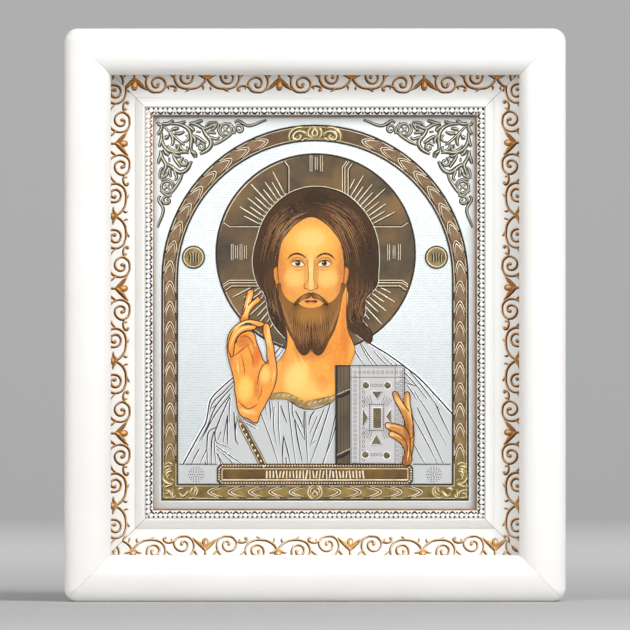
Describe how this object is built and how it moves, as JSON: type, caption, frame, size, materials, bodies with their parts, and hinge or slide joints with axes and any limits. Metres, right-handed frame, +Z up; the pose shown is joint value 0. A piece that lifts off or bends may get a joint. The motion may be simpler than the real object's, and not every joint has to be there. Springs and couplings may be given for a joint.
{
  "type": "icon panel",
  "caption": "Framed devotional icon panel: stamped silver and gilt sheet in a scrolled moulding and a deep mitred case.",
  "frame": {"origin": "middle of the underside of the case, on the surface it stands on", "axes": "+Z up along the long side of the panel, +X to the right seen from the front, the picture faces -Y"},
  "size_m": [0.28, 0.05, 0.32],
  "materials": {
    "case_lacquer": "satin",
    "moulding_lacquer": "satin",
    "scroll_gold": "satin",
    "sheet_silver": "satin",
    "sheet_gilt": "satin",
    "picture_print": "satin",
    "board_wood": "matte",
    "back_board": "matte"
  },
  "bodies": {
    "root": {"case_rail_top": "case_lacquer", "case_rail_bottom": "case_lacquer", "case_rail_left": "case_lacquer", "case_rail_right": "case_lacquer", "moulding_top": "moulding_lacquer", "moulding_bottom": "moulding_lacquer", "moulding_left": "moulding_lacquer", "moulding_right": "moulding_lacquer", "embossed_sheet": "sheet_silver", "icon_board": "board_wood", "back_panel": "back_board"}
  },
  "joints": []
}
